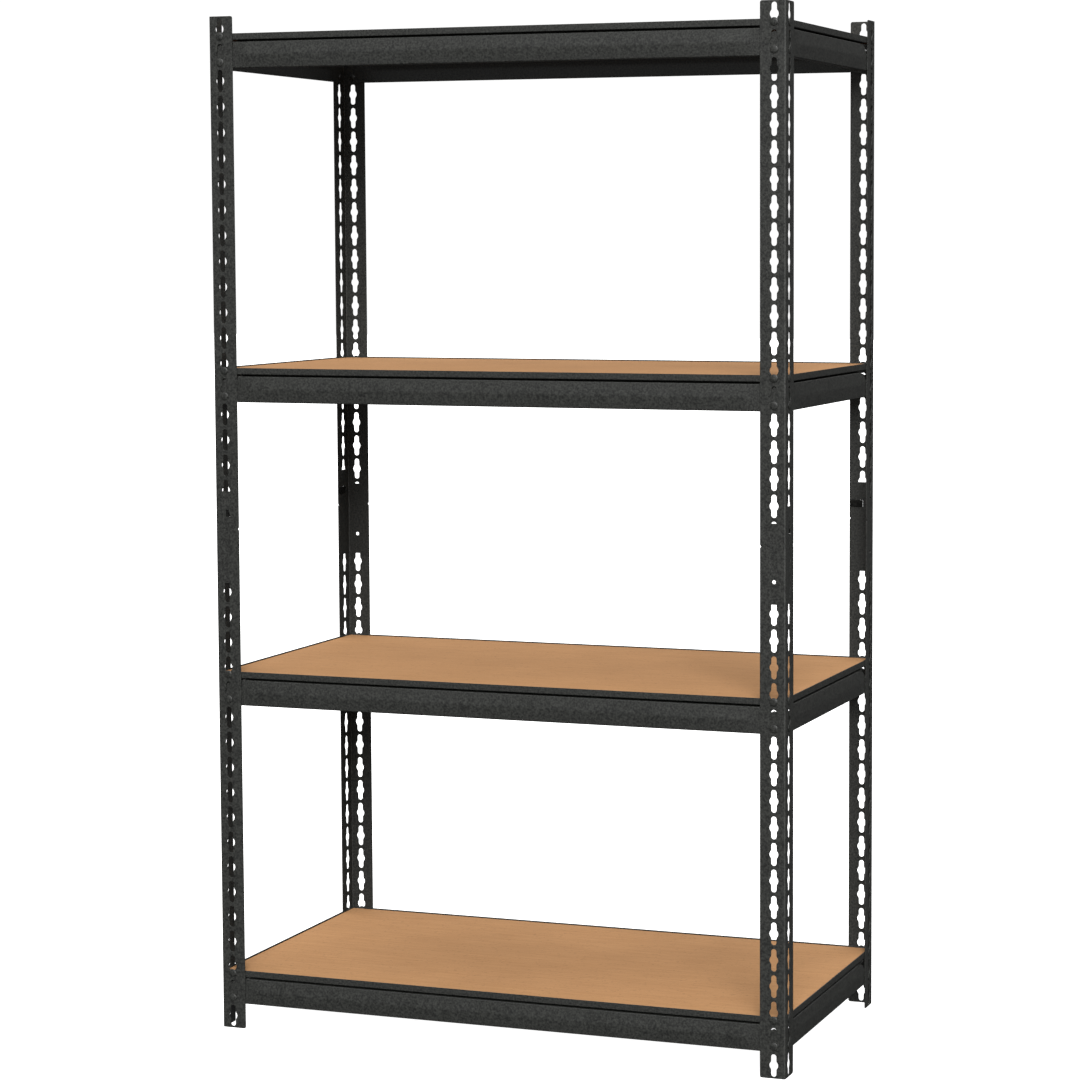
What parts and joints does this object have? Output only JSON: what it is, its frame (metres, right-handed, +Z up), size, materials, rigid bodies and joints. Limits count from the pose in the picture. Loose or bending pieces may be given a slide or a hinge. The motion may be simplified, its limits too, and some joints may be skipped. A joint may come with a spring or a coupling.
{
  "type": "boltless steel shelving",
  "caption": "Free-standing boltless shelving unit: keyholed angle posts in spliced halves, riveted hook-in beams and drop-in particleboard decks.",
  "frame": {"origin": "on the floor, under the middle of the unit", "axes": "+Z up, +X along the width to the right when facing the front, +Y from front to back"},
  "size_m": [0.8984, 0.4602, 1.524],
  "materials": {
    "post_steel": "charcoal textured powder coat on cold-rolled sheet",
    "beam_steel": "charcoal textured powder coat on roll-formed sheet",
    "splice_steel": "charcoal textured powder coat on cold-rolled sheet",
    "shelf_board": "sanded raw particleboard"
  },
  "bodies": {
    "root": {"post_front_left_lower": "post_steel", "post_front_left_upper": "post_steel", "splice_front_left": "splice_steel", "post_front_right_lower": "post_steel", "post_front_right_upper": "post_steel", "splice_front_right": "splice_steel", "post_back_right_lower": "post_steel", "post_back_right_upper": "post_steel", "splice_back_right": "splice_steel", "post_back_left_lower": "post_steel", "post_back_left_upper": "post_steel", "splice_back_left": "splice_steel"},
    "shelf_1_front_beam": {"shelf_1_front_beam": "beam_steel"},
    "shelf_1_right_beam": {"shelf_1_right_beam": "beam_steel"},
    "shelf_1_back_beam": {"shelf_1_back_beam": "beam_steel"},
    "shelf_1_left_beam": {"shelf_1_left_beam": "beam_steel"},
    "shelf_1_board": {"shelf_1_board": "shelf_board"},
    "shelf_2_front_beam": {"shelf_2_front_beam": "beam_steel"},
    "shelf_2_right_beam": {"shelf_2_right_beam": "beam_steel"},
    "shelf_2_back_beam": {"shelf_2_back_beam": "beam_steel"},
    "shelf_2_left_beam": {"shelf_2_left_beam": "beam_steel"},
    "shelf_2_board": {"shelf_2_board": "shelf_board"},
    "shelf_3_front_beam": {"shelf_3_front_beam": "beam_steel"},
    "shelf_3_right_beam": {"shelf_3_right_beam": "beam_steel"},
    "shelf_3_back_beam": {"shelf_3_back_beam": "beam_steel"},
    "shelf_3_left_beam": {"shelf_3_left_beam": "beam_steel"},
    "shelf_3_board": {"shelf_3_board": "shelf_board"},
    "shelf_4_front_beam": {"shelf_4_front_beam": "beam_steel"},
    "shelf_4_right_beam": {"shelf_4_right_beam": "beam_steel"},
    "shelf_4_back_beam": {"shelf_4_back_beam": "beam_steel"},
    "shelf_4_left_beam": {"shelf_4_left_beam": "beam_steel"},
    "shelf_4_board": {"shelf_4_board": "shelf_board"}
  },
  "joints": [
    {"name": "shelf_1_front_unhook", "type": "slide", "parent": "root", "child": "shelf_1_front_beam", "axis": [0, 0, 1], "range_m": [0, 0.0123]},
    {"name": "shelf_1_right_unhook", "type": "slide", "parent": "root", "child": "shelf_1_right_beam", "axis": [0, 0, 1], "range_m": [0, 0.0123]},
    {"name": "shelf_1_back_unhook", "type": "slide", "parent": "root", "child": "shelf_1_back_beam", "axis": [0, 0, 1], "range_m": [0, 0.0123]},
    {"name": "shelf_1_left_unhook", "type": "slide", "parent": "root", "child": "shelf_1_left_beam", "axis": [0, 0, 1], "range_m": [0, 0.0123]},
    {"name": "shelf_1_board_lift", "type": "slide", "parent": "shelf_1_front_beam", "child": "shelf_1_board", "axis": [0, 0, 1], "range_m": [0, 0.12]},
    {"name": "shelf_2_front_unhook", "type": "slide", "parent": "root", "child": "shelf_2_front_beam", "axis": [0, 0, 1], "range_m": [0, 0.0123]},
    {"name": "shelf_2_right_unhook", "type": "slide", "parent": "root", "child": "shelf_2_right_beam", "axis": [0, 0, 1], "range_m": [0, 0.0123]},
    {"name": "shelf_2_back_unhook", "type": "slide", "parent": "root", "child": "shelf_2_back_beam", "axis": [0, 0, 1], "range_m": [0, 0.0123]},
    {"name": "shelf_2_left_unhook", "type": "slide", "parent": "root", "child": "shelf_2_left_beam", "axis": [0, 0, 1], "range_m": [0, 0.0123]},
    {"name": "shelf_2_board_lift", "type": "slide", "parent": "shelf_2_front_beam", "child": "shelf_2_board", "axis": [0, 0, 1], "range_m": [0, 0.12]},
    {"name": "shelf_3_front_unhook", "type": "slide", "parent": "root", "child": "shelf_3_front_beam", "axis": [0, 0, 1], "range_m": [0, 0.0123]},
    {"name": "shelf_3_right_unhook", "type": "slide", "parent": "root", "child": "shelf_3_right_beam", "axis": [0, 0, 1], "range_m": [0, 0.0123]},
    {"name": "shelf_3_back_unhook", "type": "slide", "parent": "root", "child": "shelf_3_back_beam", "axis": [0, 0, 1], "range_m": [0, 0.0123]},
    {"name": "shelf_3_left_unhook", "type": "slide", "parent": "root", "child": "shelf_3_left_beam", "axis": [0, 0, 1], "range_m": [0, 0.0123]},
    {"name": "shelf_3_board_lift", "type": "slide", "parent": "shelf_3_front_beam", "child": "shelf_3_board", "axis": [0, 0, 1], "range_m": [0, 0.12]},
    {"name": "shelf_4_front_unhook", "type": "slide", "parent": "root", "child": "shelf_4_front_beam", "axis": [0, 0, 1], "range_m": [0, 0.0123]},
    {"name": "shelf_4_right_unhook", "type": "slide", "parent": "root", "child": "shelf_4_right_beam", "axis": [0, 0, 1], "range_m": [0, 0.0123]},
    {"name": "shelf_4_back_unhook", "type": "slide", "parent": "root", "child": "shelf_4_back_beam", "axis": [0, 0, 1], "range_m": [0, 0.0123]},
    {"name": "shelf_4_left_unhook", "type": "slide", "parent": "root", "child": "shelf_4_left_beam", "axis": [0, 0, 1], "range_m": [0, 0.0123]},
    {"name": "shelf_4_board_lift", "type": "slide", "parent": "shelf_4_front_beam", "child": "shelf_4_board", "axis": [0, 0, 1], "range_m": [0, 0.2]}
  ],
  "couplings": [
    {"joint": "shelf_1_right_unhook", "follows": "shelf_1_front_unhook", "ratio": 1},
    {"joint": "shelf_1_back_unhook", "follows": "shelf_1_front_unhook", "ratio": 1},
    {"joint": "shelf_1_left_unhook", "follows": "shelf_1_front_unhook", "ratio": 1},
    {"joint": "shelf_2_right_unhook", "follows": "shelf_2_front_unhook", "ratio": 1},
    {"joint": "shelf_2_back_unhook", "follows": "shelf_2_front_unhook", "ratio": 1},
    {"joint": "shelf_2_left_unhook", "follows": "shelf_2_front_unhook", "ratio": 1},
    {"joint": "shelf_3_right_unhook", "follows": "shelf_3_front_unhook", "ratio": 1},
    {"joint": "shelf_3_back_unhook", "follows": "shelf_3_front_unhook", "ratio": 1},
    {"joint": "shelf_3_left_unhook", "follows": "shelf_3_front_unhook", "ratio": 1},
    {"joint": "shelf_4_right_unhook", "follows": "shelf_4_front_unhook", "ratio": 1},
    {"joint": "shelf_4_back_unhook", "follows": "shelf_4_front_unhook", "ratio": 1},
    {"joint": "shelf_4_left_unhook", "follows": "shelf_4_front_unhook", "ratio": 1}
  ]
}
